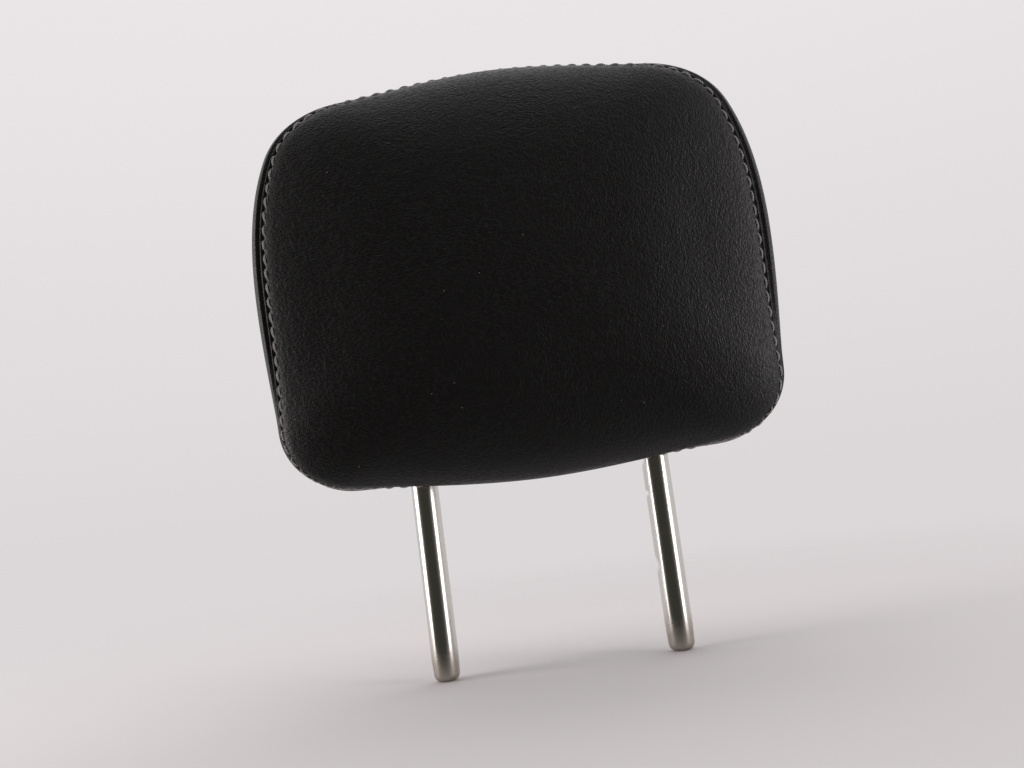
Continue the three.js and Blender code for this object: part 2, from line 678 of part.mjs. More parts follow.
// A pan-head screw along Y with its head towards the face and a square drive recess.
function makeScrew(place) {
  const [head, shank, half] = [SCREW_HEAD_DIAMETER / 2, SCREW_DIAMETER / 2, SCREW_DRIVE / 2];
  const top = screwTipY - screwHeadY + SCREW_HEAD_HEIGHT;
  const body = turned(
    [
      [0, 0],
      [SCREW_TIP / 2, 0],
      [shank, SCREW_POINT],
      [shank, top - SCREW_HEAD_HEIGHT],
      [head, top - SCREW_HEAD_HEIGHT],
      [head, top - SCREW_HEAD_ROUND],
      [head - SCREW_HEAD_ROUND, top],
      [0, top],
    ],
    BOSS_SIDES,
  );
  const drive = boxBetween([-half, -half, top - SCREW_RECESS], [half, half, top + 1]);
  return body.subtract(drive).rotate([90, 0, 0]).translate([place[0], screwTipY, place[1]]);
}

// Assembly

const strip = coverPanel(STRETCHES.strip);
const covers = new THREE.Group();
covers.add(piece("face_panel", coverPanel(STRETCHES.face), leather));
covers.add(piece("back_panel", coverPanel(STRETCHES.back), leather));
const bottomPanelWidth = PAD_WIDTH - 2 * BOTTOM_PANEL_INSET;
covers.add(piece("boxing_strip", strip.subtract(underside(bottomPanelWidth + FIT)), leather));
const bottomPanel = strip.intersect(underside(bottomPanelWidth - FIT)).subtract(grommetRoom());
covers.add(piece("bottom_panel", bottomPanel, leather));
covers.add(piece("face_topstitch", makeTopstitch(), thread));
covers.add(piece("front_closure_strip", makeFrontClosure(), trimResin));
covers.add(piece("rear_closure_strip", makeRearClosure(), trimResin));
const grommet = makeGrommet();
[["left_grommet", -legX], ["right_grommet", legX]].forEach(([name, x]) => {
  covers.add(piece(name, grommet.translate([x, 0, 0]), trimResin));
});

const inside = new THREE.Group();
inside.add(piece("foam_bun", makeFoam(), foam));
inside.add(piece("core_front_half", makeCoreHalf(-1), coreResin));
inside.add(piece("core_rear_half", makeCoreHalf(1), coreResin));
screwPlaces().forEach((place, index) => {
  inside.add(piece(`core_screw_${index + 1}`, makeScrew(place), screwSteel));
});

const headrest = new THREE.Group();
headrest.add(piece("leg_frame", makeLegFrame(), steel), covers, inside);

export default headrest;
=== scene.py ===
# %% [markdown]
# # A leather car headrest
#
# A headrest is a sewn leather cushion that is carried by one bent steel tube. The tube's two legs drop into
# the seat back, and notches in one leg hold the height. This lesson dresses a finished construction model:
# the cushion gets its crown, seams and stitches, the legs get their polish, and the light is that of a
# pale room. Legs, grommets and everything inside stay where the construction model has them, and the
# cushion's outline stays within a millimetre or two of it.

# %% Load the construction model
import math

import bmesh
import bpy
import numpy as np
from mathutils import Matrix, Vector
from mathutils.bvhtree import BVHTree


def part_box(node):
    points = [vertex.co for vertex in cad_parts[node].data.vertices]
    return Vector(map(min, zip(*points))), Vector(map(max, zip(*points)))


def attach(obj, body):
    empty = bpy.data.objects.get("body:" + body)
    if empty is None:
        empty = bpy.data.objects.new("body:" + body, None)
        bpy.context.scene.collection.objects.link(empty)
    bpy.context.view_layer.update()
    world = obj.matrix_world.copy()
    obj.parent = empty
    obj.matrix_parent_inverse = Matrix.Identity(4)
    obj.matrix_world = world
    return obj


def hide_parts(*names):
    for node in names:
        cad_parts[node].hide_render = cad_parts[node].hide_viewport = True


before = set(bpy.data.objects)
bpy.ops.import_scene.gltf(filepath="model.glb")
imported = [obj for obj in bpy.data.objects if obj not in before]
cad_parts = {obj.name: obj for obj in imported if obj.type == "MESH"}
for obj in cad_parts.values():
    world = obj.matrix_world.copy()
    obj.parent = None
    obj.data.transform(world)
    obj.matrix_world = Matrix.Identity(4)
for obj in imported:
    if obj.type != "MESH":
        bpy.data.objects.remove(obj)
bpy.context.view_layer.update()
MM = 0.001

# %% [markdown]
# ## Camera
#
# The legs stand a little further apart in the picture at their tips than at the cushion, so the camera is
# close, about half a metre away, and looks slightly upwards from the level of the legs. Its lens is that of
# a phone, near 28 to 35 mm on full frame. The headrest leans to the left in the picture. It stands upright
# here, so the camera is rolled instead.

# %% Camera
CAMERA_PLACE = Vector((-8.2, -517.6, 88.5)) * MM
CAMERA_LIFT = math.radians(6.3)
CAMERA_ROLL = math.radians(7.5)
LENS_MM = 35


def make_camera():
    ahead = Vector((0, math.cos(CAMERA_LIFT), math.sin(CAMERA_LIFT)))
    level = Vector((1, 0, 0))
    upright = level.cross(ahead)
    right = math.cos(CAMERA_ROLL) * level - math.sin(CAMERA_ROLL) * upright
    up = math.sin(CAMERA_ROLL) * level + math.cos(CAMERA_ROLL) * upright
    data = bpy.data.cameras.new("camera")
    data.lens = LENS_MM
    data.clip_start = 0.01
    camera = bpy.data.objects.new("camera", data)
    turn = Matrix((right, up, -ahead)).transposed()
    camera.matrix_world = Matrix.Translation(CAMERA_PLACE) @ turn.to_4x4()
    bpy.context.scene.collection.objects.link(camera)
    bpy.context.scene.camera = camera
    return camera


camera = make_camera()
print("camera at", [round(value, 3) for value in camera.matrix_world.translation])

# %% [markdown]
# ## Colours and nodes
#
# Colours are written as they look on a screen. The renderer works with light itself, so one function turns
# each of them to linear values. A second small function adds a shader node with its settings and links.

# %% Colour and node helpers


def linear(hex_colour, alpha=1.0):
    values = [int(hex_colour[i : i + 2], 16) / 255 for i in (1, 3, 5)]
    turned = [v / 12.92 if v <= 0.04045 else ((v + 0.055) / 1.055) ** 2.4 for v in values]
    return (*turned, alpha)


def add_node(tree, kind, settings=None, **inputs):
    """A node whose inputs are given by name, as values or as sockets to link from."""
    node = tree.nodes.new(kind)
    for key, value in (settings or {}).items():
        setattr(node, key, value)
    for key, value in inputs.items():
        name = key.replace("_", " ")
        socket = node.inputs[int(key[1:])] if key[0] == "i" and key[1:].isdigit() else node.inputs[name]
        if isinstance(value, bpy.types.NodeSocket):
            tree.links.new(value, socket)
        else:
            socket.default_value = value
    return node


def new_material(name):
    """A material with only its shader and output: the material, its tree, the shader."""
    material = bpy.data.materials.new(name)
    material.use_nodes = True
    tree = material.node_tree
    tree.nodes.clear()
    shader = tree.nodes.new("ShaderNodeBsdfPrincipled")
    output = tree.nodes.new("ShaderNodeOutputMaterial")
    tree.links.new(shader.outputs["BSDF"], output.inputs["Surface"])
    return material, tree, shader


def ramp(tree, factor, stops):
    """A colour ramp from a list of (position, grey or colour)."""
    node = add_node(tree, "ShaderNodeValToRGB", Fac=factor)
    elements = node.color_ramp.elements
    while len(elements) < len(stops):
        elements.new(0.5)
    for element, (position, colour) in zip(elements, stops):
        element.position = position
        element.color = colour if isinstance(colour, tuple) else (colour, colour, colour, 1)
    return node.outputs["Color"]


# %% [markdown]
# ## Leather
#
# The cover is automotive leather: hide that was dyed through, finished with a thin matt polyurethane coat
# and embossed with a small pebble. The coat gives it the IOR of a plastic and a broad, low sheen. The
# pebbles are about a millimetre long. They could be a picture, but cells of noise need no file and have no
# edge. The hide is pulled over the foam, so the pebbles are drawn out: upright on the right and level on the
# left. Two sets of cells, each stretched its own way, are mixed by a slow noise. Fine pores lie between them,
# shallow creases run across, and a few specks of lint lie on the face, as dust does on a black cover.
# The pebbles' tops are painted a little lighter, which is a painted highlight on each pebble.

# %% Leather
PEBBLE = 1.15 * MM
PORE = 0.5 * MM
CREASE = 7 * MM
PEBBLE_DEPTH = 0.17 * MM
PORE_DEPTH = 0.05 * MM
CREASE_DEPTH = 0.25 * MM
SPECK_SPACING = 10 * MM


def make_leather():
    material, tree, shader = new_material("pebbled_leather")
    place = add_node(tree, "ShaderNodeTexCoord").outputs["Object"]
    bend = add_node(tree, "ShaderNodeTexNoise", Vector=place, Scale=0.3 / PEBBLE, Detail=2.0)
    bent = add_node(
        tree, "ShaderNodeVectorMath", {"operation": "MULTIPLY_ADD"},
        i0=bend.outputs["Color"], i1=(1.4 * PEBBLE,) * 3, i2=place,
    ).outputs["Vector"]
    pulls = []
    for lean, stretch in ((-0.5, (1.25, 1.0, 0.65)), (0.15, (0.55, 1.0, 1.25))):
        pull = add_node(tree, "ShaderNodeMapping", Vector=bent, Rotation=(0, lean, 0), Scale=stretch)
        pulls.append(add_node(
            tree, "ShaderNodeTexVoronoi", {"feature": "SMOOTH_F1"},
            Vector=pull.outputs["Vector"], Scale=1 / PEBBLE, Smoothness=0.3, Randomness=0.9,
        ).outputs["Distance"])
    drift = add_node(tree, "ShaderNodeTexNoise", Vector=place, Scale=18.0, Detail=1.0).outputs["Fac"]
    across = add_node(tree, "ShaderNodeSeparateXYZ", Vector=place).outputs["X"]
    drift = add_node(
        tree, "ShaderNodeMath", {"operation": "MULTIPLY_ADD"}, i0=across, i1=-2.2, i2=drift
    ).outputs["Value"]
    pebble = add_node(
        tree, "ShaderNodeMix", {"data_type": "FLOAT"},
        i0=ramp(tree, drift, [(0.42, 0.0), (0.58, 1.0)]), i2=pulls[0], i3=pulls[1],
    ).outputs["Result"]
    pore = add_node(tree, "ShaderNodeTexNoise", Vector=place, Scale=1 / PORE, Detail=2.0).outputs["Fac"]
    crease = add_node(
        tree, "ShaderNodeTexNoise", Vector=place, Scale=1 / CREASE, Detail=4.0, Distortion=1.2
    ).outputs["Fac"]
    fold = ramp(tree, crease, [(0.42, 1.0), (0.5, 0.0), (0.58, 1.0)])
    low = add_node(
        tree, "ShaderNodeBump", {"invert": True}, Height=pebble, Distance=PEBBLE_DEPTH, Strength=0.85
    )
    fine = add_node(
        tree, "ShaderNodeBump", Height=pore, Distance=PORE_DEPTH, Strength=0.8, Normal=low.outputs["Normal"]
    )
    relief = add_node(
        tree, "ShaderNodeBump", Height=fold, Distance=CREASE_DEPTH, Strength=0.25,
        Normal=fine.outputs["Normal"],
    )
    speck = add_node(
        tree, "ShaderNodeTexVoronoi", {"feature": "F1"}, Vector=place, Scale=1 / SPECK_SPACING
    ).outputs["Distance"]
    dust = ramp(tree, speck, [(0.0, 1.0), (0.02, 1.0), (0.034, 0.0)])
    cloud = add_node(tree, "ShaderNodeTexNoise", Vector=place, Scale=22.0, Detail=3.0).outputs["Fac"]
    hide = add_node(
        tree, "ShaderNodeMix", {"data_type": "RGBA"}, i0=cloud, i6=linear("#0b0a0a"), i7=linear("#0f0e0d")
    ).outputs[2]
    # Painted highlight: the tops of the pebbles are mixed towards a lighter grey.
    wear_and_highlight = add_node(
        tree, "ShaderNodeMix", {"data_type": "RGBA"},
        i0=ramp(tree, pebble, [(0.15, 0.3), (0.6, 0.0)]), i6=hide, i7=linear("#1c1a19"),
    ).outputs[2]
    colour = add_node(
        tree, "ShaderNodeMix", {"data_type": "RGBA"}, i0=dust, i6=wear_and_highlight, i7=linear("#7d7974")
    ).outputs[2]
    shine = ramp(tree, pebble, [(0.15, 0.36), (0.8, 0.6)])
    shader.inputs["IOR"].default_value = 1.45
    tree.links.new(colour, shader.inputs["Base Color"])
    tree.links.new(shine, shader.inputs["Roughness"])
    tree.links.new(relief.outputs["Normal"], shader.inputs["Normal"])
    return material


leather = make_leather()
print("leather pebble", round(PEBBLE / MM, 2), "mm")

# %% [markdown]
# ## Sewing thread
#
# Seats are sewn with bonded polyester: three plies twisted together and glued, about 0.9 mm thick. It is
# grey here and matt. The plies are drawn as slanted bands on the thread's own map, which runs along it.
# The grooves between the plies are painted darker and their crests lighter, as painted shade of the twist.

# %% Thread
PLY_RISE = 1.1 * MM


def make_thread():
    material, tree, shader = new_material("bonded_polyester_thread")
    turns = add_node(tree, "ShaderNodeUVMap", {"uv_map": "thread"}).outputs["UV"]
    plies = add_node(
        tree, "ShaderNodeTexWave", {"wave_type": "BANDS", "bands_direction": "DIAGONAL"},
        Vector=turns, Scale=1.6, Distortion=0.4,
    ).outputs["Fac"]
    twist = add_node(tree, "ShaderNodeBump", Height=plies, Distance=0.08 * MM, Strength=0.8)
    # Painted shade: the ramp darkens the ply grooves and lightens their crests.
    colour = ramp(tree, plies, [(0.0, linear("#85827f")), (1.0, linear("#b9b6b3"))])
    shader.inputs["Roughness"].default_value = 0.62
    shader.inputs["Sheen Weight"].default_value = 0.3
    tree.links.new(colour, shader.inputs["Base Color"])
    tree.links.new(twist.outputs["Normal"], shader.inputs["Normal"])
    return material


thread = make_thread()

# %% [markdown]
# ## Plated steel
#
# The legs are drawn steel tube with a bright nickel and chromium plate. The plate follows the fine lines
# that drawing and polishing leave along the tube, so reflections are a little longer across than along.
# The tips are swaged after plating and rub in the seat's guides, which leaves them satin and darker.

# %% Plated steel
TIP_LENGTH = 14 * MM
DRAW_LINE = 0.25 * MM


def make_plated_steel():
    material, tree, shader = new_material("plated_steel")
    place = add_node(tree, "ShaderNodeTexCoord").outputs["Object"]
    along = add_node(tree, "ShaderNodeMapping", Vector=place, Scale=(1 / DRAW_LINE, 1 / DRAW_LINE, 12.0))
    lines = add_node(
        tree, "ShaderNodeTexNoise", Vector=along.outputs["Vector"], Scale=1.0, Detail=2.0
    ).outputs["Fac"]
    height = add_node(tree, "ShaderNodeSeparateXYZ", Vector=place).outputs["Z"]
    wobble = add_node(tree, "ShaderNodeTexNoise", Vector=place, Scale=160.0, Detail=3.0).outputs["Fac"]
    edge = add_node(
        tree, "ShaderNodeMath", {"operation": "MULTIPLY_ADD"}, i0=wobble, i1=8 * MM, i2=height
    ).outputs["Value"]
    # On the legs this mask is only the tips' wear, with no painted light.
    wear_and_highlight = add_node(
        tree, "ShaderNodeMapRange",
        Value=edge, From_Min=TIP_LENGTH - 1 * MM, From_Max=TIP_LENGTH + 9 * MM, To_Min=1.0, To_Max=0.0,
    ).outputs["Result"]
    colour = add_node(
        tree, "ShaderNodeMix", {"data_type": "RGBA"}, i0=wear_and_highlight, i6=linear("#d6d4ce"), i7=linear("#b3aca3")
    ).outputs[2]
    base_shine = ramp(tree, lines, [(0.3, 0.17), (0.7, 0.24)])
    shine = add_node(
        tree, "ShaderNodeMix", {"data_type": "RGBA"}, i0=wear_and_highlight, i6=base_shine, i7=(0.34, 0.34, 0.34, 1)
    ).outputs[2]
    relief = add_node(tree, "ShaderNodeBump", Height=lines, Distance=0.01 * MM, Strength=0.25)
    shader.inputs["Metallic"].default_value = 1.0
    tree.links.new(colour, shader.inputs["Base Color"])
    tree.links.new(shine, shader.inputs["Roughness"])
    tree.links.new(relief.outputs["Normal"], shader.inputs["Normal"])
    return material


plated_steel = make_plated_steel()

# %% [markdown]
# ## Plastics, foam and screws
#
# The grommets and closure strips are polypropylene with the fine spark-eroded grain of their moulds. The
# core is glass-filled polypropylene, plainer and slightly greyer. The bun is moulded polyurethane foam with
# open cells, and the screws are zinc plated.

# %% Plastics, foam and screws


def make_grained(name, dark, light, grain, depth, roughness, metallic=0.0):
    """A moulded or plated finish: two close colours and a grain of the given size."""
    material, tree, shader = new_material(name)
    place = add_node(tree, "ShaderNodeTexCoord").outputs["Object"]
    noise = add_node(
        tree, "ShaderNodeTexNoise", Vector=place, Scale=1 / grain, Detail=4.0, Roughness=0.6
    ).outputs["Fac"]
    colour = ramp(tree, noise, [(0.3, linear(dark)), (0.7, linear(light))])
    relief = add_node(tree, "ShaderNodeBump", Height=noise, Distance=depth, Strength=0.6)
    shader.inputs["Roughness"].default_value = roughness
    shader.inputs["Metallic"].default_value = metallic
    tree.links.new(colour, shader.inputs["Base Color"])
    tree.links.new(relief.outputs["Normal"], shader.inputs["Normal"])
    return material


moulded_trim = make_grained("moulded_polypropylene", "#121213", "#1a1a1b", 0.5 * MM, 0.05 * MM, 0.5)
moulded_core = make_grained("glass_filled_polypropylene", "#29292b", "#323335", 0.9 * MM, 0.05 * MM, 0.55)
moulded_foam = make_grained("polyurethane_foam", "#c9bd98", "#ddd2b0", 1.2 * MM, 0.5 * MM, 0.9)
zinc_plate = make_grained("zinc_plated_steel", "#8b8e90", "#a5a8a9", 0.3 * MM, 0.01 * MM, 0.35, 1.0)

CAD_FINISHES = {
    "core_front_half": moulded_core,
    "core_rear_half": moulded_core,
    "front_closure_strip": moulded_trim,
    "rear_closure_strip": moulded_trim,
    "foam_bun": moulded_foam,
}
CAD_FINISHES.update({f"core_screw_{number}": zinc_plate for number in range(1, 7)})
for node, finish in CAD_FINISHES.items():
    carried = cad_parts[node]
    carried.data.materials.clear()
    carried.data.materials.append(finish)
print("finished", len(CAD_FINISHES), "construction nodes")

# %% [markdown]
# ## The cushion's form
#
# Seen from the front the cushion is a rounded trapezoid with a slightly arched top. From its middle a
# section runs over the face, down into the front seam, across the strip that joins face and back, and over
# the back. The form could be sculpted, but the construction model fixes it, so the same few sizes are
# used: an outline of near-arcs, and a section of three curves that changes from the sides to the ends.

# %% Outline and sections
PAD_BOTTOM = 99.5 * MM
PAD_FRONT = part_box("face_panel")[0][1]
PAD_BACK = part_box("back_panel")[1][1]
PAD_WIDTH = 250 * MM
PAD_SHOULDER_WIDTH = 235 * MM
PAD_HEIGHT = 207.5 * MM
SIDE_LEAN = 21
TOP_CORNER = 37.5 * MM
TOP_ARCH = 10 * MM
TOP_SLOPE = 9
BOTTOM_CORNER = 32.5 * MM
BOTTOM_ARCH = 1 * MM
BOTTOM_SLOPE = 1
FACE_FLATNESS = 0.62
BACK_FLATNESS = 0.6
FLANK_TENSION = 0.3
PUFF = 0.9 * MM  # how far the filled strip stands out at the sides and the top
# In mm: the shoulder's and the seam's inset and depth, then the crest's depth, the turn's depth and the
# width of the strip between the seams. The face hangs over its seam at the bottom, so its insets are
# negative there, and the seams lie low enough at the top and bottom to hide the stitches from the front.
RIM = {
    "side": (18.5, -51, 5, -44.5, -16, 33, 14),
    "top_corner": (9.5, -51.5, 7.6, -47, -16.5, 33, 14),
    "top": (4.5, -52, 7, -33, -12, 32, 15),
    "bottom_corner": (-6, -47, 0.8, -36.5, -7, 30, 64),
    "bottom": (-23, -46, -1.2, -18, -8, 26, 54),
}
pad_middle = Vector((0, 0, PAD_BOTTOM + PAD_HEIGHT / 2))


def near_arc(start, end, steps):
    """Points of one curve between two knots, each (x, z, heading in degrees)."""
    (ax, az, heading_a), (bx, bz, heading_b) = start, end
    a, b = math.radians(heading_a), math.radians(heading_b)
    handle = (2 / 3) * math.hypot(bx - ax, bz - az) * math.tan((b - a) / 4) / math.sin((b - a) / 2)
    knots = np.array([
        (ax, az),
        (ax + handle * math.cos(a), az + handle * math.sin(a)),
        (bx - handle * math.cos(b), bz - handle * math.sin(b)),
        (bx, bz),
    ])
    return bezier(knots, np.linspace(0, 1, steps, endpoint=False)[:, None])


def bezier(knots, t):
    return sum(
        math.comb(3, k) * (1 - t) ** (3 - k) * t**k * knots[..., k, :] if knots.ndim == 2
        else math.comb(3, k) * (1 - t) ** (3 - k) * t**k * knots[:, None, k, :]
        for k in range(4)
    )


def pad_outline(columns):
    """Points of the outline from the bottom's middle round to it again, anticlockwise. An eighth of the
    columns lies between the middle of each edge and the middle of the next corner."""
    w, h, s = PAD_WIDTH / 2, PAD_HEIGHT / 2, PAD_SHOULDER_WIDTH / 2
    right = [
        (0, -h, 0),
        (w - BOTTOM_CORNER, BOTTOM_ARCH - h, BOTTOM_SLOPE),
        (w, BOTTOM_CORNER - h, 90),
        (s, h - TOP_CORNER, 90 + SIDE_LEAN),
        (s - TOP_CORNER, h - TOP_ARCH, 180 - TOP_SLOPE),
        (0, h, 180),
    ]
    left = [(-x, z, 360 - heading) for x, z, heading in reversed(right)]
    knots = right + left[1:]
    steps = 200
    line = np.concatenate([near_arc(a, b, steps) for a, b in zip(knots, knots[1:])])
    line = np.vstack([line, line[:1]])
    travelled = np.concatenate([[0], np.cumsum(np.hypot(*np.diff(line, axis=0).T))])
    corner_middles = [travelled[int(steps * each)] for each in (1.5, 3.5, 6.5, 8.5)]
    marks = [0, *corner_middles, travelled[-1]]
    places = np.interp(np.arange(columns) / columns, [0, 1 / 8, 3 / 8, 5 / 8, 7 / 8, 1], marks)
    return np.stack([np.interp(places, travelled, line[:, axis]) for axis in (0, 1)], axis=1)


class PadSections:
    """The cushion's surface as sections towards the points of its outline."""

    SAMPLES = 120

    def __init__(self, columns):
        rim_points = pad_outline(columns)
        reach = np.hypot(*rim_points.T)
        self.heading = rim_points / reach[:, None]
        across, upright = (self.heading**2).T[:, :, None]
        reach = reach + PUFF * np.where(rim_points[:, 1] > 0, 1, across[:, 0])
        ends, corners = (
            np.where(rim_points[:, 1:] > 0, RIM["top" + kind], RIM["bottom" + kind])
            for kind in ("", "_corner")
        )
        rim = across**2 * RIM["side"] + 2 * across * upright * corners + upright**2 * ends
        rim = rim * MM
        shoulder = np.stack([reach - rim[:, 0], rim[:, 1]], axis=1)
        seam = np.stack([reach - rim[:, 2], rim[:, 3]], axis=1)
        crest = np.stack([reach, rim[:, 4]], axis=1)
        run = (crest - seam)[:, 1]
        onward = (seam - shoulder) / np.hypot(*(seam - shoulder).T)[:, None]
        zero = np.zeros_like(reach)
        curves = [
            (zero, zero + PAD_FRONT), (FACE_FLATNESS * reach, zero + PAD_FRONT), shoulder.T, seam.T,
            seam.T, (seam + onward * (FLANK_TENSION * run)[:, None]).T,
            (crest[:, 0], crest[:, 1] - FLANK_TENSION * run), crest.T,
            crest.T, (reach, rim[:, 5]), (BACK_FLATNESS * reach, zero + PAD_BACK), (zero, zero + PAD_BACK),
        ]
        knots = np.stack([np.stack(list(pair), axis=1) for pair in curves], axis=1)
        t = np.linspace(0, 1, self.SAMPLES)[None, :, None]
        parts = [bezier(knots[:, 4 * k : 4 * k + 4], t)[:, (1 if k else 0) :] for k in range(3)]
        self.line = np.concatenate(parts, axis=1)
        stride = np.hypot(*np.moveaxis(np.diff(self.line, axis=1), 2, 0))
        self.travelled = np.concatenate([zero[:, None], np.cumsum(stride, axis=1)], axis=1)
        self.front_seam = self.travelled[:, self.SAMPLES - 1]
        self.rear_seam = self.front_seam + rim[:, 6]
        self.length = self.travelled[:, -1]

    def place(self, column, along):
        """The point of the surface on a column, which may lie between two, at a distance from the face's
        middle that is given as a function of the column."""
        count = len(self.length)
        low = math.floor(column) % count
        share = column - math.floor(column)
        points = []
        for index in (low, (low + 1) % count):
            distance = along(index)
            out = np.interp(distance, self.travelled[index], self.line[index, :, 0])
            depth = np.interp(distance, self.travelled[index], self.line[index, :, 1])
            points.append(Vector((self.heading[index, 0] * out, depth, self.heading[index, 1] * out)))
        return pad_middle + points[0].lerp(points[1], share)


PANEL_SIDE = 48  # squares along each side of the face's and back's grids
COLUMNS = 4 * PANEL_SIDE
sections = PadSections(COLUMNS)
seam_reach = sections.front_seam / MM
print("face seam", seam_reach.min().round(1), "to", seam_reach.max().round(1), "mm from the face's middle")

# %% [markdown]
# ## The cushion's mesh
#
# Face and back could be fans of triangles round their middles, but the fan's hub always shows as a pinch on
# a smooth crown. A square grid is bent to the outline instead: each square ring of the grid becomes a ring
# of the cushion, and its outermost ring is the seam. The strip is a long grid that is wrapped round. The
# rings lie closer together beside a seam, where the leather rolls over.

# %% Grids for the panels
ROLL = 9 * MM  # from a seam to where a panel starts to roll into it
ROLL_SHARE = 0.17  # share of a panel's rings that lies in the roll
STRIP_RINGS = 10


def ring_and_column(a, b):
    """The ring, 0 to 1, and column of a point of the square grid from -1 to 1."""
    ring = max(abs(a), abs(b))
    if ring < 1e-6:
        return 0.0, 0.0
    a, b = a / ring, b / ring
    if b <= -1 + 1e-6:
        turn = a / 8
    elif a >= 1 - 1e-6:
        turn = (2 + b) / 8
    elif b >= 1 - 1e-6:
        turn = (4 - a) / 8
    else:
        turn = (6 - b) / 8
    return ring, (turn % 1) * COLUMNS


def rolled(ring):
    """A ring's share of the plain part and of the roll."""
    plain = min(ring / (1 - ROLL_SHARE), 1)
    return plain, max(ring - (1 - ROLL_SHARE), 0) / ROLL_SHARE


def face_along(ring):
    plain, roll = rolled(ring)
    return lambda column: plain * (sections.front_seam[column] - ROLL) + roll * ROLL


def back_along(ring):
    plain, roll = rolled(ring)
    back = sections.length - sections.rear_seam
    return lambda column: sections.length[column] - plain * (back[column] - ROLL) - roll * ROLL


def strip_along(share):
    return lambda column: sections.front_seam[column] + share * (
        sections.rear_seam[column] - sections.front_seam[column]
    )


def square_panel(bm, along, panel_index):
    """A square grid bent onto the cushion. Its map keeps each point's place in the square."""
    made = bmesh.ops.create_grid(bm, x_segments=PANEL_SIDE, y_segments=PANEL_SIDE, size=1.0, calc_uvs=True)
    for vert in made["verts"]:
        ring, column = ring_and_column(vert.co.x, vert.co.y)
        vert.co = sections.place(column, along(ring))
    for face in {face for vert in made["verts"] for face in vert.link_faces}:
        face.material_index = panel_index
    return made["verts"]


def strip_panel(bm, panel_index):
    """A long grid wrapped round the cushion between the seams."""
    made = bmesh.ops.create_grid(bm, x_segments=COLUMNS, y_segments=STRIP_RINGS, size=1.0, calc_uvs=True)
    for vert in made["verts"]:
        column = round((vert.co.x + 1) / 2 * COLUMNS)
        vert.co = sections.place(column, strip_along((vert.co.y + 1) / 2))
    for face in {face for vert in made["verts"] for face in vert.link_faces}:
        face.material_index = panel_index
    return made["verts"]


FACE, STRIP, BACK = 0, 1, 2
pad = bmesh.new()
pad.loops.layers.uv.new("UVMap")
square_panel(pad, face_along, FACE)
strip_panel(pad, STRIP)
square_panel(pad, back_along, BACK)
bmesh.ops.remove_doubles(pad, verts=pad.verts, dist=0.02 * MM)
bmesh.ops.recalc_face_normals(pad, faces=pad.faces)
print("cushion mesh:", len(pad.verts), "points, open edges:", sum(edge.is_boundary for edge in pad.edges))

# %% [markdown]
# ## Filling the cover
#
# Foam pushes the leather out between the seams, and the seams hold it in. Cloth with a little air pressure
# does the same: the seam rings are pinned, the panels swell, and the stuff pulls itself even. The swell is
# held under a millimetre, because the construction model says how big the cushion is.

# %% Swell the panels
SWELL_LIMIT = 0.6 * MM
SHRINK = 0.3 * MM
PRESSURE = 4.0
SWELL_FRAMES = 20


def seam_verts(bm):
    return [v for v in bm.verts if len({face.material_index for face in v.link_faces}) > 1]


def swell(bm):
    """Runs the cloth on a copy of the cushion and moves its points by the capped result."""
    seams = {v.index for v in seam_verts(bm)}
    start = [v.co.copy() for v in bm.verts]
    for v in bm.verts:
        if v.index not in seams:
            v.co -= v.normal * SHRINK
    mesh = bpy.data.meshes.new("swelling")
    bm.to_mesh(mesh)
    cover = bpy.data.objects.new("swelling", mesh)
    bpy.context.scene.collection.objects.link(cover)
    held = cover.vertex_groups.new(name="held")
    held.add(list(seams), 1.0, "ADD")
    cloth = cover.modifiers.new("cloth", "CLOTH")
    cloth.settings.use_pressure = True
    cloth.settings.uniform_pressure_force = PRESSURE
    cloth.settings.effector_weights.gravity = 0
    cloth.settings.vertex_group_mass = "held"
    cloth.settings.tension_stiffness = 40
    cloth.settings.compression_stiffness = 40
    cloth.settings.bending_stiffness = 6
    cloth.settings.quality = 6
    cloth.point_cache.frame_start = 1
    cloth.point_cache.frame_end = SWELL_FRAMES
    scene = bpy.context.scene
    for number in range(1, SWELL_FRAMES + 1):
        scene.frame_set(number)
    solved = cover.evaluated_get(bpy.context.evaluated_depsgraph_get())
    moves = [solved.data.vertices[v.index].co - start[v.index] for v in bm.verts]
    for v, home, move in zip(bm.verts, start, moves):
        v.co = home + move * min(1, SWELL_LIMIT / max(move.length, 1e-9))
    scene.frame_set(1)
    bpy.data.objects.remove(cover)
    return max(move.length for move in moves)


pad.verts.index_update()
pad.normal_update()
print("furthest swell before the limit:", round(swell(pad) / MM, 2), "mm")

# %% [markdown]
# ## Panels, seams and needle holes
#
# Each panel is cut from the cushion along the seams, as the cutter would have it, and made finer. Its
# surface then gets what sewing does to leather: it rolls down into the seam, a shallow trough follows the
# row of topstitches, and each needle hole pulls a small dimple. Last it is given its thickness.

# %% Cut out the panels
STITCH_PITCH = 7.15 * MM
STITCH_SETBACK = 3.1 * MM
COVER = 3.2 * MM
# Depth and width of what sewing does to the leather
FACE_ROLL = (1.8 * MM, 1.7 * MM)
STRIP_FRONT_ROLL = (1.8 * MM, 1.9 * MM)
STRIP_REAR_ROLL = (1.7 * MM, 2.6 * MM)
BACK_ROLL = (1.7 * MM, 3 * MM)
SETTLE = (0.3 * MM, 7 * MM)
TROUGH = (0.5 * MM, 0.9 * MM)
DIMPLE = (1.0 * MM, 0.9 * MM)
DIMPLE_LENGTH = 0.85 * MM
DIMPLE_SHIFT = 0.4 * MM  # the holes lie a little outside the row, where the thread pulls


def smoothstep(x):
    x = np.clip(x, 0, 1)
    return x * x * (3 - 2 * x)


def rolled_down(distance, roll):
    """How deep the leather lies at a distance from its seam, for a roll of (depth, width)."""
    depth, width = roll
    return depth * (1 - smoothstep(distance / width))


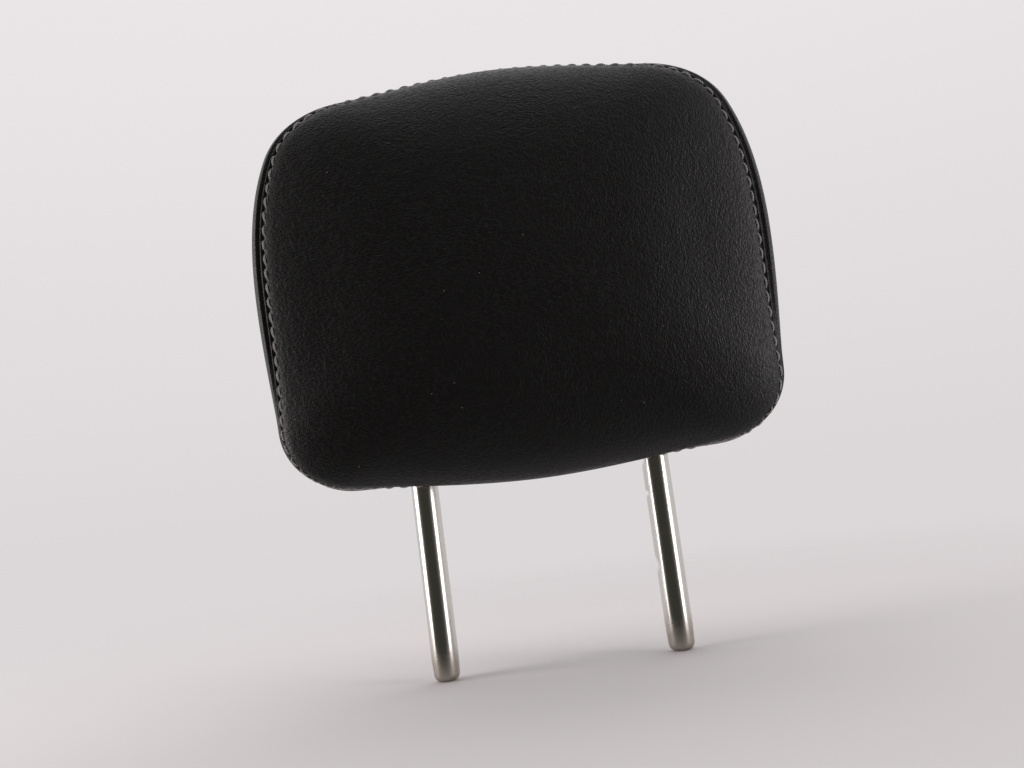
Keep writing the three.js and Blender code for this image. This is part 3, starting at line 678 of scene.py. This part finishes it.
def cut_panel(name, panel_index, levels):
    """One panel of the cushion as an object of its own, refined."""
    part = pad.copy()
    others = [face for face in part.faces if face.material_index != panel_index]
    bmesh.ops.delete(part, geom=others, context="FACES")
    for face in part.faces:
        face.smooth = True
        face.material_index = 0
    mesh = bpy.data.meshes.new(name)
    part.to_mesh(mesh)
    part.free()
    panel = bpy.data.objects.new(name, mesh)
    bpy.context.scene.collection.objects.link(panel)
    finer = panel.modifiers.new("finer", "SUBSURF")
    finer.levels = finer.render_levels = levels
    apply_modifiers(panel)
    return panel


def apply_modifiers(obj):
    """Keeps the mesh that the modifiers give."""
    solved = obj.evaluated_get(bpy.context.evaluated_depsgraph_get())
    mesh = bpy.data.meshes.new_from_object(solved)
    old = obj.data
    obj.modifiers.clear()
    obj.data = mesh
    mesh.name = obj.name
    bpy.data.meshes.remove(old)


def vertex_uvs(mesh):
    """Each point's place on the panel's map. Where the map wraps, the last loop's value stays."""
    uvs = np.zeros(len(mesh.loops) * 2, dtype=np.float32)
    mesh.uv_layers[0].uv.foreach_get("vector", uvs)
    corners = np.zeros(len(mesh.loops), dtype=np.int32)
    mesh.loops.foreach_get("vertex_index", corners)
    places = np.zeros((len(mesh.vertices), 2))
    places[corners] = uvs.reshape(-1, 2)
    return places


def get_points(mesh):
    points = np.zeros(len(mesh.vertices) * 3)
    mesh.vertices.foreach_get("co", points)
    return points.reshape(-1, 3)


def get_normals(mesh):
    normals = np.zeros(len(mesh.vertices) * 3)
    mesh.vertices.foreach_get("normal", normals)
    return normals.reshape(-1, 3)


def press(mesh, depth):
    """Moves each point inwards by its depth."""
    points = get_points(mesh) - get_normals(mesh) * depth[:, None]
    mesh.vertices.foreach_set("co", points.ravel())
    mesh.update()


def stitch_along(column):
    return sections.front_seam[column] - STITCH_SETBACK


# The stitch line's length up to each column, and the number of stitches on it
stitch_line = np.array([sections.place(column, stitch_along) for column in range(COLUMNS + 1)])
stitch_travel = np.concatenate([[0], np.cumsum(np.linalg.norm(np.diff(stitch_line, axis=0), axis=1))])
STITCHES = round(stitch_travel[-1] / STITCH_PITCH)
pitch = stitch_travel[-1] / STITCHES
print(STITCHES, "stitches of", round(pitch / MM, 2), "mm")

face_panel = cut_panel("face_leather", FACE, 2)
places = vertex_uvs(face_panel.data)
ring_column = np.array([ring_and_column(a, b) for a, b in places * 2 - 1])
from_seam = np.clip(1 - ring_column[:, 0], 0, None) / ROLL_SHARE * ROLL
travel = np.interp(ring_column[:, 1], np.arange(COLUMNS + 1), stitch_travel)
to_hole = (travel / pitch + 0.5) % 1 - 0.5
settled = rolled_down(from_seam - 2 * MM, SETTLE)
trough = TROUGH[0] * np.exp(-(((from_seam - STITCH_SETBACK) / TROUGH[1]) ** 2))
dimple = DIMPLE[0] * np.exp(
    -(((from_seam - STITCH_SETBACK + DIMPLE_SHIFT) / DIMPLE[1]) ** 2) - (to_hole * pitch / DIMPLE_LENGTH) ** 2
)
press(face_panel.data, rolled_down(from_seam, FACE_ROLL) + settled + trough + dimple)

strip_panel_object = cut_panel("strip_leather", STRIP, 2)
places = vertex_uvs(strip_panel_object.data)
widths = sections.rear_seam - sections.front_seam
strip_width = np.interp(places[:, 0] * COLUMNS, np.arange(COLUMNS + 1), np.append(widths, widths[0]))
from_front = places[:, 1] * strip_width
from_rear = (1 - places[:, 1]) * strip_width
press(
    strip_panel_object.data,
    rolled_down(from_front, STRIP_FRONT_ROLL) + rolled_down(from_rear, STRIP_REAR_ROLL),
)

back_panel = cut_panel("back_leather", BACK, 1)
places = vertex_uvs(back_panel.data)
rings = np.abs(places * 2 - 1).max(axis=1)
from_seam = np.clip(1 - rings, 0, None) / ROLL_SHARE * ROLL
press(back_panel.data, rolled_down(from_seam, BACK_ROLL))
print("panels have", [len(p.data.polygons) for p in (face_panel, strip_panel_object, back_panel)], "faces")

# %% [markdown]
# ## Parting the strip
#
# The strip is two pieces of leather: the boxing strip over the sides and top, and the bottom panel, which
# the legs come through. They meet at short cross seams near the bottom corners. Both panels are cut with
# planes, and the holes for the legs with cylinders, as the real holes are punched.

# %% Part the strip and give the panels thickness
BOTTOM_PANEL_HALF = 109 * MM
BOTTOM_PANEL_TOP = PAD_BOTTOM + PAD_HEIGHT / 4
LEG_SPACING = 120 * MM
NECK_HOLE = 10.3 * MM


def keep_strip(source, name, underneath):
    """The part of the strip that lies under the cushion between the cross seams, or the rest."""
    bm = bmesh.new()
    bm.from_mesh(source.data)
    for side in (-1, 1):
        geom = bm.verts[:] + bm.edges[:] + bm.faces[:]
        bmesh.ops.bisect_plane(
            bm, geom=geom, dist=0.01 * MM, plane_co=(side * BOTTOM_PANEL_HALF, 0, 0), plane_no=(1, 0, 0)
        )

    def is_under(face):
        middle = face.calc_center_median()
        return abs(middle.x) < BOTTOM_PANEL_HALF and middle.z < BOTTOM_PANEL_TOP

    bmesh.ops.delete(bm, geom=[f for f in bm.faces if is_under(f) != underneath], context="FACES")
    mesh = bpy.data.meshes.new(name)
    bm.to_mesh(mesh)
    bm.free()
    obj = bpy.data.objects.new(name, mesh)
    bpy.context.scene.collection.objects.link(obj)
    return obj


def thicken(obj):
    """Gives a panel its thickness inwards."""
    wall = obj.modifiers.new("thickness", "SOLIDIFY")
    wall.thickness = COVER
    wall.offset = -1
    apply_modifiers(obj)
    for polygon in obj.data.polygons:
        polygon.use_smooth = True


boxing_panel = keep_strip(strip_panel_object, "boxing_leather", False)
bottom_panel = keep_strip(strip_panel_object, "bottom_leather", True)
bpy.data.objects.remove(strip_panel_object)
for panel in (face_panel, back_panel, boxing_panel, bottom_panel):
    thicken(panel)


def cylinder_object(name, radius, low, high, x, segments=64):
    bm = bmesh.new()
    bmesh.ops.create_cone(
        bm, cap_ends=True, segments=segments, radius1=radius, radius2=radius, depth=high - low,
        matrix=Matrix.Translation((x, 0, (low + high) / 2)),
    )
    mesh = bpy.data.meshes.new(name)
    bm.to_mesh(mesh)
    bm.free()
    obj = bpy.data.objects.new(name, mesh)
    bpy.context.scene.collection.objects.link(obj)
    return obj


def cut_away(obj, cutters):
    for cutter in cutters:
        cut = obj.modifiers.new("cut", "BOOLEAN")
        cut.operation = "DIFFERENCE"
        cut.object = cutter
        cut.solver = "EXACT"
    apply_modifiers(obj)
    for cutter in cutters:
        bpy.data.objects.remove(cutter)


cut_away(bottom_panel, [
    cylinder_object("punch", NECK_HOLE, PAD_BOTTOM - 10 * MM, PAD_BOTTOM + 25 * MM, side * LEG_SPACING / 2)
    for side in (-1, 1)
])
for panel in (face_panel, back_panel, boxing_panel, bottom_panel):
    panel.data.materials.clear()
    panel.data.materials.append(leather)

# %% [markdown]
# ## Topstitches
#
# Each stitch is a short length of thread that comes up through one needle hole, lies over the leather and
# dives into the next. A curve with a round section could follow the row, but it would never dive. So every
# stitch starts as a ball, which is stretched and bent over its own stretch of leather. The leather's mesh
# is asked where it is, so the thread lies on it everywhere.

# %% Sew the face
THREAD = 0.55 * MM  # radius
STITCH_SKEW = 0.35 * MM  # a lockstitch leans a little across its row


def surface_of(obj):
    bm = bmesh.new()
    bm.from_mesh(obj.data)
    tree = BVHTree.FromBMesh(bm)
    bm.free()
    return tree


def sew(surface, count):
    row = bmesh.new()
    turns = row.loops.layers.uv.new("thread")
    columns = np.interp(np.arange(count + 1) * pitch, stitch_travel, np.arange(COLUMNS + 1))
    for first, last in zip(columns, columns[1:]):
        stops = np.linspace(0.05, 0.95, 9)
        spine = []
        for stop in stops:
            near = sections.place(first + (last - first) * stop, stitch_along)
            spot, normal, _, _ = surface.find_nearest(near)
            spine.append((spot, normal))
        spots = [spot for spot, _ in spine]
        forward = (spots[-1] - spots[0]).normalized()
        ball = bmesh.ops.create_uvsphere(row, u_segments=8, v_segments=10, radius=1.0)
        for vert in ball["verts"]:
            share = (vert.co.z + 1) / 2
            index = min(int(share * 8), 7)
            spot = spots[index].lerp(spots[index + 1], share * 8 - index)
            normal = spine[index][1].lerp(spine[index + 1][1], share * 8 - index).normalized()
            side = normal.cross(forward)
            arch = math.sin(math.pi * share)
            lift = THREAD * (2.2 * arch**0.7 - 1.3)
            lean = STITCH_SKEW * (2 * share - 1) + 0.3 * MM * arch
            around = Vector((vert.co.x, vert.co.y))
            width = THREAD * (0.45 + 0.55 * arch**0.5)
            spread = around.normalized() * width if around.length > 1e-6 else around
            vert.co = spot + normal * (lift + spread.y) + side * (lean + spread.x)
    for face in row.faces:
        face.smooth = True
        for loop in face.loops:
            loop[turns].uv = (loop.vert.co.x / PLY_RISE, loop.vert.co.z / PLY_RISE)
    mesh = bpy.data.meshes.new("face_stitches")
    row.to_mesh(mesh)
    row.free()
    mesh.materials.append(thread)
    stitches = bpy.data.objects.new("face_stitches", mesh)
    bpy.context.scene.collection.objects.link(stitches)
    return stitches


face_stitches = sew(surface_of(face_panel), STITCHES)
print("stitches have", len(face_stitches.data.polygons), "faces")

# %% [markdown]
# ## Legs
#
# One tube is bent twice and its ends are swaged to blunt noses with a small hole left in the middle. A ring
# of points is extruded up one leg, spun through the bends and carried down the other, which is how a tube
# bender works. The notches are then milled with cutters.

# %% Bend the tube
TUBE_RADIUS = 7 * MM
TIP_RADIUS = 6.6 * MM
TIP_ROUND = 3.6 * MM
TIP_HOLE = 1.3 * MM
HOLE_DEPTH = 5 * MM
BEND_RADIUS = 30 * MM
TUBE_SIDES = 72
# In mm: height above the tip, depth, and the run of the flanks above and below
NOTCHES = [(99, 2.0, 1.2, 5), (80.5, 1.8, 1.6, 2.2), (43.5, 1.7, 5, 4.2)]
leg_x = LEG_SPACING / 2
crossbar_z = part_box("leg_frame")[1][2] - TUBE_RADIUS
bend_z = crossbar_z - BEND_RADIUS


def tip_profile():
    """The swaged end as (radius, height), from inside its hole out to the full tube."""
    points = [(TIP_HOLE, HOLE_DEPTH), (TIP_HOLE, 0.3 * MM), (TIP_HOLE + 0.3 * MM, 0.0)]
    for step in range(9):
        angle = step / 8 * math.pi / 2
        points.append((
            TIP_RADIUS - TIP_ROUND + TIP_ROUND * math.sin(angle),
            TIP_ROUND - TIP_ROUND * math.cos(angle),
        ))
    points += [(TUBE_RADIUS - 0.06 * MM, TIP_LENGTH - 3 * MM), (TUBE_RADIUS, TIP_LENGTH + 3 * MM)]
    return points


def ring_at(bm, radius, x, z):
    made = bmesh.ops.create_circle(
        bm, segments=TUBE_SIDES, radius=radius, matrix=Matrix.Translation((x, 0, z))
    )
    return made["verts"]


def bridge(bm, first, second):
    edges = {edge for ring in (first, second) for v in ring for edge in v.link_edges
             if edge.verts[0] in ring and edge.verts[1] in ring}
    bmesh.ops.bridge_loops(bm, edges=list(edges))


def make_leg(bm, x):
    rings = [set(ring_at(bm, radius, x, z)) for radius, z in tip_profile()]
    rings.append(set(ring_at(bm, TUBE_RADIUS, x, bend_z)))
    for first, second in zip(rings, rings[1:]):
        bridge(bm, first, second)
    bmesh.ops.contextual_create(bm, geom=list(rings[0]))
    return rings[-1]


def make_tube():
    bm = bmesh.new()
    ends = []
    for side in (-1, 1):
        top = make_leg(bm, side * leg_x)
        edges = [edge for edge in bm.edges if edge.verts[0] in top and edge.verts[1] in top]
        spun = bmesh.ops.spin(
            bm, geom=list(top) + edges, cent=(side * (leg_x - BEND_RADIUS), 0, bend_z), axis=(0, 1, 0),
            angle=-side * math.pi / 2, steps=14,
        )
        ends.append({v for v in spun["geom_last"] if isinstance(v, bmesh.types.BMVert)})
    bridge(bm, *ends)
    bmesh.ops.remove_doubles(bm, verts=bm.verts, dist=0.005 * MM)
    bmesh.ops.recalc_face_normals(bm, faces=bm.faces)
    for face in bm.faces:
        face.smooth = True
    mesh = bpy.data.meshes.new("steel_legs")
    bm.to_mesh(mesh)
    print("tube:", len(bm.faces), "faces, open edges:", sum(edge.is_boundary for edge in bm.edges))
    bm.free()
    obj = bpy.data.objects.new("steel_legs", mesh)
    bpy.context.scene.collection.objects.link(obj)
    return obj


def notch_cutter(height, depth, above, below):
    """A wedge across the leg's inner side, made from a box."""
    inner = leg_x - TUBE_RADIUS
    bm = bmesh.new()
    corners = [
        (inner - 1 * MM, height + above + 1 * MM),
        (inner, height + above),
        (inner + depth, height + 0.2 * MM),
        (inner + depth, height - 0.2 * MM),
        (inner, height - below),
        (inner - 1 * MM, height - below - 1 * MM),
    ]
    verts = [bm.verts.new((x, -TUBE_RADIUS - 1 * MM, z)) for x, z in corners]
    face = bm.faces.new(verts)
    made = bmesh.ops.extrude_face_region(bm, geom=[face])
    moved = [v for v in made["geom"] if isinstance(v, bmesh.types.BMVert)]
    bmesh.ops.translate(bm, verts=moved, vec=(0, 2 * TUBE_RADIUS + 2 * MM, 0))
    bmesh.ops.recalc_face_normals(bm, faces=bm.faces)
    mesh = bpy.data.meshes.new("notch")
    bm.to_mesh(mesh)
    bm.free()
    obj = bpy.data.objects.new("notch", mesh)
    bpy.context.scene.collection.objects.link(obj)
    return obj


steel_legs = make_tube()
cut_away(steel_legs, [notch_cutter(*(size * MM for size in notch)) for notch in NOTCHES])
soften = steel_legs.modifiers.new("soften", "BEVEL")
soften.width = 0.25 * MM
soften.segments = 2
soften.limit_method = "ANGLE"
soften.angle_limit = math.radians(28)
apply_modifiers(steel_legs)
steel_legs.data.materials.clear()
steel_legs.data.materials.append(plated_steel)
print("legs have", len(steel_legs.data.polygons), "faces")

# %% [markdown]
# ## Grommets
#
# A moulded ring trims each hole in the bottom panel. It is a turned shape, so its profile is spun.

# %% Grommets


def make_grommet(name, node):
    low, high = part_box(node)
    x = (low[0] + high[0]) / 2
    outer = (high[0] - low[0]) / 2
    bore = TUBE_RADIUS + 0.3 * MM
    neck = 10 * MM
    flange = 1.6 * MM
    profile = [
        (bore, low[2] + 0.4 * MM), (bore + 0.4 * MM, low[2]), (outer - 1.0 * MM, low[2]),
        (outer - 0.3 * MM, low[2] + 0.3 * MM), (outer, low[2] + 0.9 * MM), (outer, low[2] + flange),
        (neck, low[2] + flange), (neck, high[2]), (bore, high[2]),
    ]
    bm = bmesh.new()
    verts = [bm.verts.new((x + radius, 0, z)) for radius, z in profile]
    edges = [bm.edges.new(pair) for pair in zip(verts, verts[1:] + verts[:1])]
    bmesh.ops.spin(
        bm, geom=verts + edges, cent=(x, 0, 0), axis=(0, 0, 1), angle=2 * math.pi, steps=64, use_merge=True
    )
    bmesh.ops.recalc_face_normals(bm, faces=bm.faces)
    mesh = bpy.data.meshes.new(name)
    bm.to_mesh(mesh)
    bm.free()
    mesh.materials.append(moulded_trim)
    obj = bpy.data.objects.new(name, mesh)
    bpy.context.scene.collection.objects.link(obj)
    bevel = obj.modifiers.new("edges", "BEVEL")
    bevel.width = 0.2 * MM
    bevel.segments = 2
    apply_modifiers(obj)
    for polygon in obj.data.polygons:
        polygon.use_smooth = True
    return obj


left_ring = make_grommet("left_ring", "left_grommet")
right_ring = make_grommet("right_ring", "right_grommet")

# %% [markdown]
# ## Floor, room and light
#
# The headrest stands on a pale floor at the level of its tips, in a pale room. The floor fades out into the
# room with distance, and the room is as bright there as the floor is, so no horizon shows. Two wide soft
# lamps stand at the sides, where windows would be, and a third hangs above as a ceiling. Bright metal and
# leather look like what they mirror, so the room has a dim end in front of the headrest, as a room has
# behind whoever looks at it: the middle of the face stays black, its edges catch the windows, and the legs
# get dark and bright bands.

# %% Floor and room
ROOM_HIGH = "#ebe7e9"
ROOM_LOW = "#dcd8d9"
DIM_END = "#3b3a34"
FLOOR = "#ebe7e7"
DIM_SIDE = (0.24, 0.97, 0.0)  # away from the dim end, which lies in front and a little to the left
FLOOR_FADE = (0.14, 0.8)  # distances in metres from the headrest


def make_room():
    world = bpy.data.worlds.new("room")
    bpy.context.scene.world = world
    world.use_nodes = True
    tree = world.node_tree
    tree.nodes.clear()
    direction = add_node(tree, "ShaderNodeTexCoord").outputs["Generated"]
    parts = add_node(tree, "ShaderNodeSeparateXYZ", Vector=direction)
    lifted = add_node(
        tree, "ShaderNodeMapRange", Value=parts.outputs["Z"],
        From_Min=0.0, From_Max=0.5, To_Min=0.0, To_Max=1.0,
    ).outputs["Result"]
    walls = ramp(tree, lifted, [(0.0, linear(ROOM_LOW)), (1.0, linear(ROOM_HIGH))])
    facing = add_node(
        tree, "ShaderNodeVectorMath", {"operation": "DOT_PRODUCT"}, i0=direction, i1=DIM_SIDE
    ).outputs["Value"]
    ahead = add_node(
        tree, "ShaderNodeMapRange", {"interpolation_type": "SMOOTHSTEP"}, Value=facing,
        From_Min=-0.8, From_Max=0.08, To_Min=1.0, To_Max=0.0,
    ).outputs["Result"]
    mirrored = add_node(
        tree, "ShaderNodeMix", {"data_type": "RGBA"}, i0=ahead, i6=walls, i7=linear(DIM_END)
    ).outputs[2]
    path = add_node(tree, "ShaderNodeLightPath")
    mirror_ray = add_node(
        tree, "ShaderNodeMath", {"operation": "MAXIMUM"},
        i0=path.outputs["Is Glossy Ray"], i1=path.outputs["Is Transmission Ray"],
    ).outputs["Value"]
    lit = add_node(tree, "ShaderNodeBackground", Color=mirrored, Strength=0.6)
    seen = add_node(tree, "ShaderNodeBackground", Color=walls, Strength=1.0)
    gloss = add_node(tree, "ShaderNodeBackground", Color=mirrored, Strength=1.0)
    mixed = add_node(
        tree, "ShaderNodeMixShader",
        i0=mirror_ray, i1=lit.outputs["Background"], i2=gloss.outputs["Background"],
    )
    mixed = add_node(
        tree, "ShaderNodeMixShader",
        i0=path.outputs["Is Camera Ray"], i1=mixed.outputs["Shader"], i2=seen.outputs["Background"],
    )
    add_node(tree, "ShaderNodeOutputWorld", Surface=mixed.outputs["Shader"])


def make_floor():
    bm = bmesh.new()
    bmesh.ops.create_circle(bm, cap_ends=True, segments=96, radius=3.0)
    mesh = bpy.data.meshes.new("floor")
    bm.to_mesh(mesh)
    bm.free()
    floor = bpy.data.objects.new("floor", mesh)
    bpy.context.scene.collection.objects.link(floor)
    material, tree, shader = new_material("pale_floor")
    place = add_node(tree, "ShaderNodeTexCoord").outputs["Object"]
    reach = add_node(tree, "ShaderNodeVectorMath", {"operation": "LENGTH"}, i0=place).outputs["Value"]
    fade = add_node(
        tree, "ShaderNodeMapRange", {"interpolation_type": "SMOOTHSTEP"},
        Value=reach, From_Min=FLOOR_FADE[0], From_Max=FLOOR_FADE[1], To_Min=0.0, To_Max=1.0,
    ).outputs["Result"]
    shader.inputs["Base Color"].default_value = linear(FLOOR)
    shader.inputs["Roughness"].default_value = 0.9
    ahead = add_node(
        tree, "ShaderNodeMapRange", {"interpolation_type": "SMOOTHSTEP"},
        Value=add_node(tree, "ShaderNodeSeparateXYZ", Vector=place).outputs["Y"],
        From_Min=-0.06, From_Max=0.0, To_Min=1.0, To_Max=0.0,
    ).outputs["Result"]
    shaded = add_node(
        tree, "ShaderNodeMath", {"operation": "MULTIPLY"},
        i0=ahead, i1=add_node(tree, "ShaderNodeLightPath").outputs["Is Glossy Ray"],
    ).outputs["Value"]
    fade = add_node(tree, "ShaderNodeMath", {"operation": "MAXIMUM"}, i0=fade, i1=shaded).outputs["Value"]
    clear = add_node(tree, "ShaderNodeBsdfTransparent")
    mixed = add_node(
        tree, "ShaderNodeMixShader", i0=fade, i1=shader.outputs["BSDF"], i2=clear.outputs["BSDF"]
    )
    output = next(node for node in tree.nodes if node.type == "OUTPUT_MATERIAL")
    tree.links.new(mixed.outputs["Shader"], output.inputs["Surface"])
    mesh.materials.append(material)
    return floor


def add_lamp(name, place, aim, size, power, colour="#ffffff"):
    data = bpy.data.lights.new(name, "AREA")
    data.shape = "RECTANGLE"
    data.size, data.size_y = size
    data.energy = power
    data.color = linear(colour)[:3]
    lamp = bpy.data.objects.new(name, data)
    lamp.location = place
    lamp.rotation_euler = (Vector(aim) - Vector(place)).to_track_quat("-Z", "Y").to_euler()
    lamp.visible_camera = False
    bpy.context.scene.collection.objects.link(lamp)
    return lamp


make_room()
make_floor()
add_lamp("right_window", (1.2, -0.68, 0.25), (0, 0, 0.15), (0.5, 0.9), 6.5, "#f8f2f4")
add_lamp("left_window", (-1.25, -0.1, 0.3), (0, 0, 0.15), (0.6, 0.9), 8.5, "#fbf6f4")
add_lamp("ceiling", (0.0, 0.3, 1.8), (0, 0, 0.1), (2.8, 2.4), 17)

# %% [markdown]
# ## Bodies and stand-ins
#
# Every piece is hung on the body that it moves with, and the construction node that it stands for is hidden.

# %% Rides and stand-ins
for piece, node, slot in (
    (face_panel, "face_panel", "leather"),
    (back_panel, "back_panel", "leather"),
    (boxing_panel, "boxing_strip", "leather"),
    (bottom_panel, "bottom_panel", "leather"),
    (face_stitches, "face_topstitch", "thread"),
    (steel_legs, "leg_frame", "bright_steel"),
    (left_ring, "left_grommet", "trim_resin"),
    (right_ring, "right_grommet", "trim_resin"),
):
    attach(piece, "root")
    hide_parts(node)

bpy.context.scene.view_settings.view_transform = "Standard"
